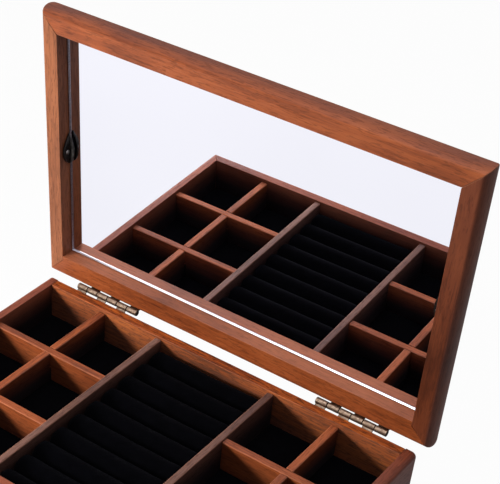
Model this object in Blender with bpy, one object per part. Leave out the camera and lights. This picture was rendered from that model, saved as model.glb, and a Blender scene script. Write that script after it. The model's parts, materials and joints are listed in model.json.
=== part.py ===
"""A wooden jewellery box on a moulded base: a divided top tray, two drawers below it,
and a mirrored lid that stands open on two butt hinges.

Metres, +Z up, +X to the right of someone facing the drawers, +Y to the back.
The origin is the middle of the underside of the base.
"""

import math

import bmesh
import bpy
from mathutils import Matrix, Vector

# Clearances
GAP = 0.0003                 # between two pieces that touch
OVERRUN = 0.002              # how far a cut runs past the face it opens
DRAWER_PLAY = 0.0006         # round a drawer in its opening

# Case
BOX_WIDTH = 0.3
BOX_DEPTH = 0.189
SIDE_WALL = 0.0076
BACK_WALL = 0.0074
FRONT_WALL = 0.0095
RIM_ROUNDING = 0.0035        # outer top edge of the side walls and the front
BACK_RIM_ROUNDING = 0.001
BASE_THICKNESS = 0.011
BASE_PROJECTION = 0.004      # how far the base stands out past the walls
BASE_ROUNDING = 0.004
BASE_FOOT_CHAMFER = 0.001
SHELF = 0.006
DRAWER_OPENING = 0.038
TRAY_FLOOR = 0.004

# Tray
TRAY_DEPTH = 0.0254          # from the rim down to the velvet
VELVET = 0.0015
LONG_DIVIDER = 0.005
LONG_DIVIDER_DROP = 0.0014   # its top edge below the rim
CENTRE_BAY = 0.0872          # between the two long dividers
SMALL_DIVIDER = 0.0055
SMALL_DIVIDER_DROP = 0.0026
DIVIDER_ROUNDING = 0.0007
TRAY_ROWS = 3

# Ring cushion
RING_ROLLS = 10
RING_CUSHION_DROP = 0.0056   # top of the rolls below the rim
RING_CROWN = 0.0065          # how far a roll rises from the mouth of its slit
RING_SLIT_DEPTH = 0.011      # from the top of a roll to the bottom of its slit
RING_SLIT = 0.0007
RING_TUCK = 0.0012           # how far the cover is drawn in at the foot
RING_END_DROP = 0.0014       # the rolls are drawn down where they meet the dividers
RING_END_REACH = 0.008
RING_END_SHARES = (0.0, 0.12, 0.4, 1.0)
ROLL_STEPS = 10

# Lid
LID_BULGE = 0.004            # of the rounded edge, past the edge of the flat underside
LID_SIDE_PROJECTION = 0.001  # of the flat underside past the walls
LID_FRONT_PROJECTION = 0.0009
LID_REAR_SETBACK = 0.0008
LID_THICKNESS = 0.017
LID_STILE = 0.0138           # with its bulge, like the rails below
LID_HINGE_RAIL = 0.0173
LID_OPEN_ANGLE = math.radians(88.6)
LID_EDGE_STEPS = 10
MIRROR_RECESS = 0.01         # from the lid's underside to the glass
MIRROR = 0.002
MIRROR_PLAY = 0.0006
BACKING = 0.0012
LID_PANEL = 0.0032
LID_REBATE = 0.004

# Mirror clips
CLIP_LENGTH = 0.0225
CLIP_HEIGHT = 0.0068         # of the half that is screwed to the stile
CLIP_LIP = 0.0042            # of the half that lies on the glass
CLIP_THICKNESS = 0.0012
CLIP_CENTRE_SHARE = 0.5      # of the mirror's depth, from its hinge edge
CLIP_HEEL_SHARE = 0.42       # widest place of the clip, of its length from the heel
CLIP_SCREW_SHARE = 0.5       # height of the screw above the glass, of the clip's height
CLIP_HEAD_RADIUS = 0.0017
CLIP_HEAD_HEIGHT = 0.0009
CLIP_SHANK_RADIUS = 0.0008
CLIP_SHANK_LENGTH = 0.006
CLIP_BORE_RADIUS = 0.0011

# Hinges
HINGE_LENGTH = 0.0526
HINGE_SIDE_INSET = 0.0237    # from the box's side to the hinge's nearer end
HINGE_AXIS_BACK = 0.0043     # behind the back wall
KNUCKLES = 6
KNUCKLE_RADIUS = 0.0024
KNUCKLE_BORE = 0.0013
KNUCKLE_GAP = 0.00035
KNUCKLE_CHAMFER = 0.0005
PIN_RADIUS = 0.001
LEAF = 0.001
LEAF_BEND_SHARE = 0.7        # where the necks bend up, past the wood, of the leaf's thickness
LEAF_OFFSET = 0.004          # from the joint of lid and box to the middle of a leaf
BOX_LEAF_REACH = 0.0056      # into the wood
LID_LEAF_REACH = 0.009

# Drawers
DRAWER_FRONT = 0.008
DRAWER_SIDE = 0.005
DRAWER_BACK = 0.005
DRAWER_BOTTOM = 0.0025
DRAWER_SIDE_DROP = 0.006     # the sides below the top of the front
DRAWER_BEHIND = 0.003        # free space behind a closed drawer
DRAWER_EDGE_ROUNDING = 0.0008
DRAWER_LINER = 0.0012
KNOB_SPACING = 0.15
KNOB_RADIUS = 0.0065
KNOB_LENGTH = 0.013
# Radius and height of the knob from its foot to its face, as shares of its own
KNOB_SHARES = ((0.69, 0.0), (0.69, 0.1), (0.48, 0.2), (0.48, 0.36), (0.8, 0.5), (1.0, 0.68),
               (0.97, 0.8), (0.8, 0.92), (0.45, 0.985), (0.0, 1.0))
KNOB_BORE_RADIUS = 0.0018
KNOB_BORE_DEPTH = 0.0075
KNOB_SCREW_RADIUS = 0.0014
KNOB_SCREW_HEAD_RADIUS = 0.003
KNOB_SCREW_HEAD = 0.0012
KNOB_SCREW_REACH = 0.0065    # into the knob

# Facets
ROUND_STEPS = 4
TURNED_STEPS = 20
TUBE_STEPS = 16

# Places that follow from the sizes
INNER_X = BOX_WIDTH / 2 - SIDE_WALL
FRONT_Y = -BOX_DEPTH / 2
BACK_Y = BOX_DEPTH / 2
TRAY_FRONT_Y = FRONT_Y + FRONT_WALL
TRAY_BACK_Y = BACK_Y - BACK_WALL
WALL_BOTTOM_Z = BASE_THICKNESS + GAP
LOWER_FLOOR_Z = BASE_THICKNESS
SHELF_Z = LOWER_FLOOR_Z + DRAWER_OPENING
UPPER_FLOOR_Z = SHELF_Z + SHELF
TRAY_FLOOR_Z = UPPER_FLOOR_Z + DRAWER_OPENING
LINER_Z = TRAY_FLOOR_Z + TRAY_FLOOR + GAP
VELVET_Z = LINER_Z + VELVET
RIM_Z = VELVET_Z + TRAY_DEPTH
LONG_INNER_X = CENTRE_BAY / 2
LONG_OUTER_X = LONG_INNER_X + LONG_DIVIDER
BAY_WIDTH = INNER_X - LONG_OUTER_X
COLUMN_X = LONG_OUTER_X + BAY_WIDTH / 2
ROW_DEPTH = (TRAY_BACK_Y - TRAY_FRONT_Y - (TRAY_ROWS - 1) * SMALL_DIVIDER) / TRAY_ROWS
CUSHION_FRONT_Y = TRAY_FRONT_Y + GAP
RING_ROLL_PITCH = (TRAY_BACK_Y - GAP - CUSHION_FRONT_Y) / RING_ROLLS
HINGE_Y = BACK_Y + HINGE_AXIS_BACK
HINGE_Z = RIM_Z + GAP

# Colours of the finishes: red, green, blue, roughness, metallic
WOOD_LOOK = (0.26, 0.085, 0.04, 0.38, 0.0)
TRAY_WOOD_LOOK = (0.24, 0.11, 0.065, 0.5, 0.0)
VELVET_LOOK = (0.008, 0.008, 0.01, 0.95, 0.0)
GLASS_LOOK = (0.86, 0.87, 0.9, 0.03, 1.0)
CARD_LOOK = (0.03, 0.028, 0.026, 0.9, 0.0)
BRASS_LOOK = (0.22, 0.17, 0.11, 0.42, 1.0)
DARK_METAL_LOOK = (0.035, 0.032, 0.03, 0.4, 1.0)


def clear_scene():
    for old in list(bpy.data.objects):
        bpy.data.objects.remove(old, do_unlink=True)


def finish(name, look):
    """A Principled material of one colour, roughness and metallic value."""
    material = bpy.data.materials.new(name)
    material.use_nodes = True
    shader = material.node_tree.nodes["Principled BSDF"]
    shader.inputs["Base Color"].default_value = (*look[:3], 1.0)
    shader.inputs["Roughness"].default_value = look[3]
    shader.inputs["Metallic"].default_value = look[4]
    return material


# Building blocks

def place(name, bm, material, parent=None, location=(0, 0, 0), smooth=False):
    """Turn a bmesh into an object under its parent."""
    bmesh.ops.recalc_face_normals(bm, faces=bm.faces)
    mesh = bpy.data.meshes.new(name)
    bm.to_mesh(mesh)
    bm.free()
    if smooth:
        mesh.shade_smooth()
        mesh.set_sharp_from_angle(angle=math.radians(35))
    if material:
        mesh.materials.append(material)
    piece = bpy.data.objects.new(name, mesh)
    piece.location = location
    piece.parent = parent
    bpy.context.scene.collection.objects.link(piece)
    return piece


def axis_empty(name, location, rotation_x=0.0):
    """The frame of a group of pieces, standing on the axis that the group moves about."""
    empty = bpy.data.objects.new(name, None)
    empty.location = location
    empty.rotation_euler.x = rotation_x
    bpy.context.scene.collection.objects.link(empty)
    return empty


def block(name, low, high, material, parent=None, rounded=(), radius=0.0):
    """A board between two corners. Rounded names edges by the signs of their middles."""
    size = Vector(high) - Vector(low)
    bm = bmesh.new()
    bmesh.ops.create_cube(bm, size=1.0)
    chosen = []
    for edge in bm.edges:
        middle = (edge.verts[0].co + edge.verts[1].co) / 2
        signs = tuple(0 if value == 0 else int(math.copysign(1, value)) for value in middle)
        if signs in rounded:
            chosen.append(edge)
    bmesh.ops.scale(bm, vec=size, verts=bm.verts)
    if chosen:
        bmesh.ops.bevel(bm, geom=chosen, offset=radius, segments=ROUND_STEPS, profile=0.5,
                        affect="EDGES", clamp_overlap=True)
    return place(name, bm, material, parent, (Vector(low) + Vector(high)) / 2)


def prism(name, outline, axis, start, end, material, parent=None, sharp_top=True):
    """An outline drawn across one axis and drawn out along it."""
    order = {"X": (1, 2, 0), "Y": (0, 2, 1), "Z": (0, 1, 2)}[axis]
    bm = bmesh.new()
    corners = []
    for first, second in outline:
        point = [0.0, 0.0, 0.0]
        point[order[0]] = first
        point[order[1]] = second
        point[order[2]] = start
        corners.append(bm.verts.new(point))
    face = bm.faces.new(corners)
    grown = bmesh.ops.extrude_face_region(bm, geom=[face])
    shift = [0.0, 0.0, 0.0]
    shift[order[2]] = end - start
    moved = [item for item in grown["geom"] if isinstance(item, bmesh.types.BMVert)]
    bmesh.ops.translate(bm, vec=shift, verts=moved)
    if not sharp_top:
        round_top_edges(bm)
    return place(name, bm, material, parent)


def round_top_edges(bm):
    """Round the long upper edges of a divider."""
    top = max(vert.co.z for vert in bm.verts)
    chosen = []
    for edge in bm.edges:
        at_top = all(math.isclose(vert.co.z, top, rel_tol=1e-6) for vert in edge.verts)
        sides = [face for face in edge.link_faces if abs(face.normal.z) < 0.5]
        if at_top and sides and edge.calc_length() > 2 * SMALL_DIVIDER:
            chosen.append(edge)
    bmesh.ops.bevel(bm, geom=chosen, offset=DIVIDER_ROUNDING, segments=2, profile=0.5,
                    affect="EDGES", clamp_overlap=True)


def turned(name, profile, steps, material, parent=None, matrix=None, smooth=True):
    """A profile of (radius, height) points turned once round the local Z axis."""
    bm = bmesh.new()
    points = [bm.verts.new((radius, 0.0, height)) for radius, height in profile]
    pairs = list(zip(points, points[1:]))
    if profile[0][0] > 0:
        pairs.append((points[-1], points[0]))
    edges = [bm.edges.new(pair) for pair in pairs]
    bmesh.ops.spin(bm, geom=points + edges, cent=(0, 0, 0), axis=(0, 0, 1),
                   angle=math.tau, steps=steps, use_merge=True)
    bmesh.ops.remove_doubles(bm, verts=bm.verts, dist=GAP / 100)
    if matrix:
        bmesh.ops.transform(bm, matrix=matrix, verts=bm.verts)
    return place(name, bm, material, parent, smooth=smooth)


def arc(centre, radius, start_degrees, end_degrees, steps=ROUND_STEPS):
    """Points along an arc, both ends included."""
    points = []
    for step in range(steps + 1):
        angle = math.radians(start_degrees + (end_degrees - start_degrees) * step / steps)
        points.append((centre[0] + radius * math.cos(angle), centre[1] + radius * math.sin(angle)))
    return points


def combine(piece, tool, operation="DIFFERENCE"):
    """Cut a tool out of a piece, or join it on."""
    tool.hide_render = True
    tool.display_type = "WIRE"
    modifier = piece.modifiers.new(f"{operation.lower()} {tool.name}", "BOOLEAN")
    modifier.operation = operation
    modifier.object = tool


# Case

def build_case(wood):
    outer_x = BOX_WIDTH / 2
    base_x = outer_x + BASE_PROJECTION
    base_y = BACK_Y + BASE_PROJECTION
    base = block("base_plinth", (-base_x, -base_y, 0), (base_x, base_y, BASE_THICKNESS), wood,
                 rounded=((1, 0, 1), (-1, 0, 1), (0, 1, 1), (0, -1, 1)), radius=BASE_ROUNDING)
    foot = base.modifiers.new("foot chamfer", "BEVEL")
    foot.width = BASE_FOOT_CHAMFER
    foot.segments = 1
    foot.limit_method = "ANGLE"
    foot.angle_limit = math.radians(60)

    for label, side in (("left", -1), ("right", 1)):
        x_range = sorted((side * INNER_X, side * outer_x))
        wall = block(f"side_wall_{label}", (x_range[0], FRONT_Y, WALL_BOTTOM_Z),
                     (x_range[1], BACK_Y, RIM_Z), wood, rounded=((side, 0, 1),), radius=RIM_ROUNDING)
        inner = Vector((INNER_X, TRAY_FRONT_Y + GAP))
        outer = Vector((outer_x, FRONT_Y + GAP))
        run = (outer - inner).normalized() * OVERRUN
        inner -= run
        outer += run
        past_front = FRONT_Y - 2 * OVERRUN
        outline = [(side * inner.x, inner.y), (side * outer.x, outer.y),
                   (side * outer.x, past_front), (side * inner.x, past_front)]
        mitre = prism(f"mitre_cut_{label}", outline, "Z", TRAY_FLOOR_Z - GAP, RIM_Z + OVERRUN, None)
        combine(wall, mitre)

    back = block("back_wall", (-INNER_X + GAP, TRAY_BACK_Y, WALL_BOTTOM_Z),
                 (INNER_X - GAP, BACK_Y, RIM_Z), wood, rounded=((0, 1, 1),), radius=BACK_RIM_ROUNDING)

    apron_outline = [(-INNER_X + GAP, TRAY_FRONT_Y), (-outer_x + GAP, FRONT_Y),
                     (outer_x - GAP, FRONT_Y), (INNER_X - GAP, TRAY_FRONT_Y)]
    apron = prism("front_apron", apron_outline, "Z", TRAY_FLOOR_Z, RIM_Z, wood)
    round_front_rim(apron)

    block("drawer_shelf", (-INNER_X + GAP, FRONT_Y, SHELF_Z),
          (INNER_X - GAP, TRAY_BACK_Y - GAP, UPPER_FLOOR_Z), wood)
    block("tray_floor", (-INNER_X + GAP, TRAY_FRONT_Y + GAP, TRAY_FLOOR_Z),
          (INNER_X - GAP, TRAY_BACK_Y - GAP, TRAY_FLOOR_Z + TRAY_FLOOR), wood)
    return back


def round_front_rim(apron):
    """Round the outer top edge of the apron like the tops of the side walls."""
    bm = bmesh.new()
    bm.from_mesh(apron.data)
    bm.normal_update()
    chosen = []
    for edge in bm.edges:
        middle = (edge.verts[0].co + edge.verts[1].co) / 2
        if math.isclose(middle.z, RIM_Z, rel_tol=1e-5) and math.isclose(middle.y, FRONT_Y, rel_tol=1e-5):
            chosen.append(edge)
    bmesh.ops.bevel(bm, geom=chosen, offset=RIM_ROUNDING, segments=ROUND_STEPS, profile=0.5,
                    affect="EDGES", clamp_overlap=True)
    bm.to_mesh(apron.data)
    bm.free()


# Tray

def row_divider_y(row):
    """Front and back face of the divider in front of a row, counted from the back."""
    back = TRAY_BACK_Y - (row + 1) * ROW_DEPTH - row * SMALL_DIVIDER
    return back - SMALL_DIVIDER, back


def build_dividers(wood):
    top = RIM_Z - LONG_DIVIDER_DROP
    bottom = TRAY_FLOOR_Z + TRAY_FLOOR + GAP
    for label, side in (("left", -1), ("right", 1)):
        x_range = sorted((side * LONG_INNER_X, side * LONG_OUTER_X))
        outline = [(x_range[0], bottom), (x_range[1], bottom), (x_range[1], top), (x_range[0], top)]
        prism(f"long_divider_{label}", outline, "Y", TRAY_FRONT_Y + GAP, TRAY_BACK_Y - GAP, wood,
              sharp_top=False)

    top = RIM_Z - SMALL_DIVIDER_DROP
    bottom = VELVET_Z + GAP
    middle = (top + bottom) / 2
    half = SMALL_DIVIDER / 2
    for label, side in (("left", -1), ("right", 1)):
        outline = [(TRAY_FRONT_Y + GAP, bottom), (TRAY_BACK_Y - GAP, bottom), (TRAY_BACK_Y - GAP, top)]
        for row in range(TRAY_ROWS - 1):
            front, back = row_divider_y(row)
            outline += [(back + GAP, top), (back + GAP, middle - GAP),
                        (front - GAP, middle - GAP), (front - GAP, top)]
        outline.append((TRAY_FRONT_Y + GAP, top))
        x_middle = side * COLUMN_X
        prism(f"column_divider_{label}", outline, "X", x_middle - half, x_middle + half, wood,
              sharp_top=False)

        ends = sorted((side * (LONG_OUTER_X + GAP), side * (INNER_X - GAP)))
        slot = (x_middle - half - GAP, x_middle + half + GAP)
        outline = [(ends[0], bottom), (slot[0], bottom), (slot[0], middle), (slot[1], middle),
                   (slot[1], bottom), (ends[1], bottom), (ends[1], top), (ends[0], top)]
        for row in range(TRAY_ROWS - 1):
            front, back = row_divider_y(row)
            prism(f"row_divider_{label}_{row + 1}", outline, "Y", front, back, wood, sharp_top=False)


def build_liners(velvet):
    y_range = (TRAY_FRONT_Y + GAP, TRAY_BACK_Y - GAP)
    for label, side in (("left", -1), ("right", 1)):
        ends = sorted((side * (LONG_OUTER_X + GAP), side * (INNER_X - GAP)))
        block(f"velvet_floor_{label}", (ends[0], y_range[0], LINER_Z),
              (ends[1], y_range[1], VELVET_Z), velvet)


def ring_roll_outline():
    """The cushion from the side: a flat foot and a row of rolls parted by slits."""
    top = RIM_Z - RING_CUSHION_DROP
    slit_z = top - RING_SLIT_DEPTH
    half = (RING_ROLL_PITCH - RING_SLIT) / 2
    back_y = CUSHION_FRONT_Y + RING_ROLLS * RING_ROLL_PITCH
    outline = [(CUSHION_FRONT_Y + RING_TUCK, LINER_Z)]
    for roll in range(RING_ROLLS):
        middle = CUSHION_FRONT_Y + (roll + 0.5) * RING_ROLL_PITCH
        if roll > 0:
            outline.append((middle - half, slit_z))
        for step in range(ROLL_STEPS + 1):
            angle = math.pi * (1 - step / ROLL_STEPS)
            outline.append((middle + half * math.cos(angle),
                            top - RING_CROWN + RING_CROWN * math.sin(angle)))
        if roll < RING_ROLLS - 1:
            outline.append((middle + half, slit_z))
    outline.append((back_y - RING_TUCK, LINER_Z))
    return outline


def build_ring_cushion(velvet):
    """Rolls of padded velvet along X, drawn down at both dividers."""
    end_x = LONG_INNER_X - GAP
    stations = [-end_x + share * RING_END_REACH for share in RING_END_SHARES]
    stations += [-station for station in reversed(stations)]
    top = RIM_Z - RING_CUSHION_DROP
    bm = bmesh.new()
    rings = []
    for station in stations:
        from_end = min(1.0, (end_x - abs(station)) / RING_END_REACH)
        drop = RING_END_DROP * (1 - from_end) ** 2
        ring = []
        for y, z in ring_roll_outline():
            rise = max(0.0, 1 - (top - z) / RING_SLIT_DEPTH)
            ring.append(bm.verts.new((station, y, z - drop * rise)))
        rings.append(ring)
    for here, there in zip(rings, rings[1:]):
        for index in range(len(here)):
            after = (index + 1) % len(here)
            bm.faces.new((here[index], here[after], there[after], there[index]))
    bm.faces.new(rings[0])
    bm.faces.new(rings[-1])
    place("ring_cushion", bm, velvet, smooth=True)


# Hinges

def knuckle_spans(side):
    """Start and end along X of each knuckle, from left to right."""
    length = (HINGE_LENGTH - (KNUCKLES - 1) * KNUCKLE_GAP) / KNUCKLES
    outer_end = BOX_WIDTH / 2 - HINGE_SIDE_INSET
    start = outer_end - HINGE_LENGTH if side > 0 else -outer_end
    spans = []
    for index in range(KNUCKLES):
        left = start + index * (length + KNUCKLE_GAP)
        spans.append((left, left + length))
    return spans


def build_leaf(name, spans, edge_y, reach, plate_z, brass, parent):
    """A leaf let into the wood, and the outline of the necks that bend up to its knuckles."""
    leaf = block(name, (spans[0][0], edge_y - reach, plate_z - LEAF / 2),
                 (spans[-1][1], edge_y + LEAF, plate_z + LEAF / 2), brass, parent)
    neck_start = Vector((edge_y + LEAF_BEND_SHARE * LEAF, plate_z))
    along = -neck_start.normalized()
    neck_end = -along * (KNUCKLE_BORE + KNUCKLE_RADIUS) / 2
    across = Vector((-along.y, along.x)) * LEAF / 2
    outline = [tuple(neck_start + across), tuple(neck_end + across),
               tuple(neck_end - across), tuple(neck_start - across)]
    return leaf, outline


def add_knuckles(leaf, outline, spans, brass, parent):
    for index, (left, right) in enumerate(spans):
        neck = prism(f"{leaf.name}_neck_{index}", outline, "X", left + KNUCKLE_CHAMFER,
                     right - KNUCKLE_CHAMFER, brass, parent)
        combine(leaf, neck, "UNION")
        rim = KNUCKLE_RADIUS - KNUCKLE_CHAMFER
        length = right - left
        profile = [(KNUCKLE_BORE, 0.0), (rim, 0.0), (KNUCKLE_RADIUS, KNUCKLE_CHAMFER),
                   (KNUCKLE_RADIUS, length - KNUCKLE_CHAMFER), (rim, length), (KNUCKLE_BORE, length)]
        lay_down = Matrix.Translation((left, 0, 0)) @ Matrix.Rotation(math.radians(90), 4, "Y")
        tube = turned(f"{leaf.name}_tube_{index}", profile, TUBE_STEPS, brass, parent, lay_down)
        combine(leaf, tube, "UNION")


def build_hinges(brass, back_wall, hinge_rail, axis, lid):
    """Two hinges whose leaves sit in slots behind the rim and in the lid's rear edge."""
    for label, side in (("left", -1), ("right", 1)):
        spans = knuckle_spans(side)
        whole = (spans[0][0] - GAP, spans[-1][1] + GAP)
        slot_half = LEAF / 2 + GAP

        seats = ((axis, back_wall, "box", -HINGE_AXIS_BACK, BOX_LEAF_REACH, -LEAF_OFFSET, spans[0::2]),
                 (lid, hinge_rail, "lid", lid_edge_y(LEAF_OFFSET), LID_LEAF_REACH, LEAF_OFFSET,
                  spans[1::2]))
        for parent, wood_piece, part_of, edge_y, reach, plate_z, own_spans in seats:
            leaf, outline = build_leaf(f"hinge_{label}_{part_of}_leaf", spans, edge_y, reach, plate_z,
                                       brass, parent)
            add_knuckles(leaf, outline, own_spans, brass, parent)
            slot = block(f"{part_of}_slot_{label}", (whole[0], edge_y - reach - GAP, plate_z - slot_half),
                         (whole[1], edge_y + OVERRUN, plate_z + slot_half), None, parent)
            combine(wood_piece, slot)

        start = spans[0][0]
        profile = [(0.0, 0.0), (PIN_RADIUS, 0.0), (PIN_RADIUS, HINGE_LENGTH), (0.0, HINGE_LENGTH)]
        lay_down = Matrix.Translation((start, 0, 0)) @ Matrix.Rotation(math.radians(90), 4, "Y")
        turned(f"hinge_{label}_pin", profile, TUBE_STEPS, brass, axis, lay_down)


# Lid, drawn closed with the hinge axis at the origin

LID_REAR_Y = LID_BULGE - LID_REAR_SETBACK - HINGE_AXIS_BACK
LID_FRONT_Y = -HINGE_AXIS_BACK - BOX_DEPTH - LID_FRONT_PROJECTION - LID_BULGE
LID_HALF_X = BOX_WIDTH / 2 + LID_SIDE_PROJECTION + LID_BULGE
GLASS_HALF_X = LID_HALF_X - LID_STILE
GLASS_REAR_Y = LID_REAR_Y - LID_HINGE_RAIL
GLASS_FRONT_Y = LID_FRONT_Y + LID_STILE
PANEL_Z = LID_THICKNESS - LID_PANEL


def lid_edge_y(height):
    """Where the lid's rounded rear edge is, at a height over its underside."""
    half = LID_THICKNESS / 2
    return LID_REAR_Y - LID_BULGE * (1 - math.sqrt(1 - ((half - height) / half) ** 2))


def rail_section(width):
    """A rail across its length: distance in from the outer edge, height over the underside."""
    half = LID_THICKNESS / 2
    section = []
    for step in range(LID_EDGE_STEPS + 1):
        angle = math.pi * (step / LID_EDGE_STEPS - 0.5)
        section.append((LID_BULGE * (1 - math.cos(angle)), half + half * math.sin(angle)))
    step_z = PANEL_Z - GAP
    return section + [(width - LID_REBATE, LID_THICKNESS), (width - LID_REBATE, step_z),
                      (width, step_z), (width, 0.0)]


def cut_mitre(piece, outer, inner, past):
    """Cut a rail's end off on the upright plane through its outer and inner corner."""
    run = Vector(inner) - Vector(outer)
    across = Vector((-run.y, run.x)).normalized()
    if across.dot(Vector(past) - Vector(outer)) < 0:
        across = -across
    start = Vector(outer) - run - across * GAP / 2
    end = Vector(inner) + run - across * GAP / 2
    outline = [tuple(start), tuple(end), tuple(end + across * LID_HINGE_RAIL * 2),
               tuple(start + across * LID_HINGE_RAIL * 2)]
    tool = prism(f"mitre_{piece.name}", outline, "Z", -OVERRUN, LID_THICKNESS + OVERRUN, None, piece.parent)
    combine(piece, tool)


def build_lid_frame(wood, lid):
    """Four mitred rails; the wider hinge rail ends square inside its mitres."""
    rear_section = [(LID_REAR_Y - inward, z) for inward, z in rail_section(LID_HINGE_RAIL)]
    front_section = [(LID_FRONT_Y + inward, z) for inward, z in rail_section(LID_STILE)]
    hinge_rail = prism("lid_hinge_rail", rear_section, "X", -LID_HALF_X, LID_HALF_X, wood, lid)
    front_rail = prism("lid_front_rail", front_section, "X", -LID_HALF_X, LID_HALF_X, wood, lid)
    stiles = {}
    for label, side in (("left", -1), ("right", 1)):
        section = [(side * (LID_HALF_X - inward), z) for inward, z in rail_section(LID_STILE)]
        stile = prism(f"lid_stile_{label}", section, "Y", LID_FRONT_Y, LID_REAR_Y, wood, lid)
        stiles[side] = stile
        outer_x = side * LID_HALF_X
        inner_x = side * GLASS_HALF_X
        front_corner = ((outer_x, LID_FRONT_Y), (inner_x, LID_FRONT_Y + LID_STILE))
        rear_corner = ((outer_x, LID_REAR_Y), (inner_x, LID_REAR_Y - LID_STILE))
        cut_mitre(front_rail, *front_corner, past=(outer_x, 0.0))
        cut_mitre(stile, *front_corner, past=(0.0, LID_FRONT_Y))
        cut_mitre(stile, *rear_corner, past=(0.0, LID_REAR_Y))

        half_gap = side * GAP / 2
        past_x = side * (LID_HALF_X + OVERRUN)
        end = [(inner_x - half_gap, GLASS_REAR_Y - OVERRUN), (inner_x - half_gap, rear_corner[1][1]),
               (outer_x - half_gap, LID_REAR_Y), (past_x - half_gap, LID_REAR_Y + OVERRUN),
               (past_x, GLASS_REAR_Y - OVERRUN)]
        tool = prism(f"hinge_rail_end_{label}", end, "Z", -OVERRUN, LID_THICKNESS + OVERRUN, None, lid)
        combine(hinge_rail, tool)
    return hinge_rail, stiles


def build_lid_panels(wood, glass, card, lid):
    reach = LID_REBATE - GAP
    block("lid_panel", (-GLASS_HALF_X - reach, GLASS_FRONT_Y - reach, PANEL_Z),
          (GLASS_HALF_X + reach, GLASS_REAR_Y + reach, LID_THICKNESS), wood, lid)
    low = (-GLASS_HALF_X + MIRROR_PLAY, GLASS_FRONT_Y + MIRROR_PLAY)
    high = (GLASS_HALF_X - MIRROR_PLAY, GLASS_REAR_Y - MIRROR_PLAY)
    glass_top = MIRROR_RECESS + MIRROR
    block("mirror", (*low, MIRROR_RECESS), (*high, glass_top), glass, lid)
    block("mirror_backing", (*low, glass_top + GAP), (*high, glass_top + GAP + BACKING), card, lid)


def teardrop(reach):
    """Half a teardrop: distance along its straight side from the fat heel, and out from it."""
    widest = CLIP_LENGTH * CLIP_HEEL_SHARE
    points = []
    for step in range(ROUND_STEPS + 1):
        angle = math.pi / 2 * step / ROUND_STEPS
        points.append((widest * (1 - math.cos(angle)), reach * math.sin(angle)))
    taper = CLIP_LENGTH - widest
    for step in range(1, ROUND_STEPS):
        share = step / ROUND_STEPS
        points.append((widest + taper * share, reach * math.cos(math.pi / 2 * share)))
    points.append((CLIP_LENGTH, 0.0))
    return points


def build_clips(metal, stiles, lid):
    """Leaves folded along their middle: one half on the stile's inner wall, one on the glass."""
    heel_y = GLASS_REAR_Y + (GLASS_FRONT_Y - GLASS_REAR_Y) * CLIP_CENTRE_SHARE + CLIP_LENGTH / 2
    foot_z = MIRROR_RECESS - GAP
    screw_y = heel_y - CLIP_LENGTH * CLIP_HEEL_SHARE
    screw_z = foot_z - CLIP_HEIGHT * CLIP_SCREW_SHARE
    wall_x = GLASS_HALF_X - GAP
    wall_outline = [(heel_y - along, foot_z - out) for along, out in teardrop(CLIP_HEIGHT)]
    for label, side in (("left", -1), ("right", 1)):
        x_range = sorted((side * wall_x, side * (wall_x - CLIP_THICKNESS)))
        clip = prism(f"mirror_clip_{label}", wall_outline, "X", *x_range, metal, lid)
        fold_x = wall_x - CLIP_THICKNESS / 2
        lip_outline = [(side * (fold_x - out), heel_y - along) for along, out in teardrop(CLIP_LIP)]
        lip = prism(f"mirror_clip_lip_{label}", lip_outline, "Z", foot_z - CLIP_THICKNESS, foot_z,
                    metal, lid)
        combine(clip, lip, "UNION")
        head_x = wall_x - CLIP_THICKNESS - GAP
        turn = Matrix.Rotation(math.radians(side * 90), 4, "Y")
        seat = Matrix.Translation((side * head_x, screw_y, screw_z)) @ turn
        dome = [(CLIP_HEAD_RADIUS * math.cos(angle), -CLIP_HEAD_HEIGHT * math.sin(angle))
                for angle in (0.0, math.pi / 6, math.pi / 3)]
        profile = [(0.0, -CLIP_HEAD_HEIGHT)] + dome[::-1]
        profile += [(CLIP_SHANK_RADIUS, 0.0), (CLIP_SHANK_RADIUS, CLIP_SHANK_LENGTH),
                    (0.0, CLIP_SHANK_LENGTH)]
        turned(f"mirror_clip_screw_{label}", profile, TUBE_STEPS, metal, lid, seat)
        depth = CLIP_SHANK_LENGTH + GAP
        bore = [(0.0, -OVERRUN), (CLIP_BORE_RADIUS, -OVERRUN), (CLIP_BORE_RADIUS, depth), (0.0, depth)]
        drill = turned(f"clip_bore_{label}", bore, TUBE_STEPS, None, lid, seat)
        combine(clip, drill)
        combine(stiles[side], drill)


# Drawers, drawn with the middle of the front's lower edge at the origin

def knob_profile():
    """From the foot on the drawer front out to the face, with a bore for the screw."""
    bore = [(0.0, KNOB_BORE_DEPTH), (KNOB_BORE_RADIUS, KNOB_BORE_DEPTH), (KNOB_BORE_RADIUS, 0.0)]
    return bore + [(radius * KNOB_RADIUS, height * KNOB_LENGTH) for radius, height in KNOB_SHARES]


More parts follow.
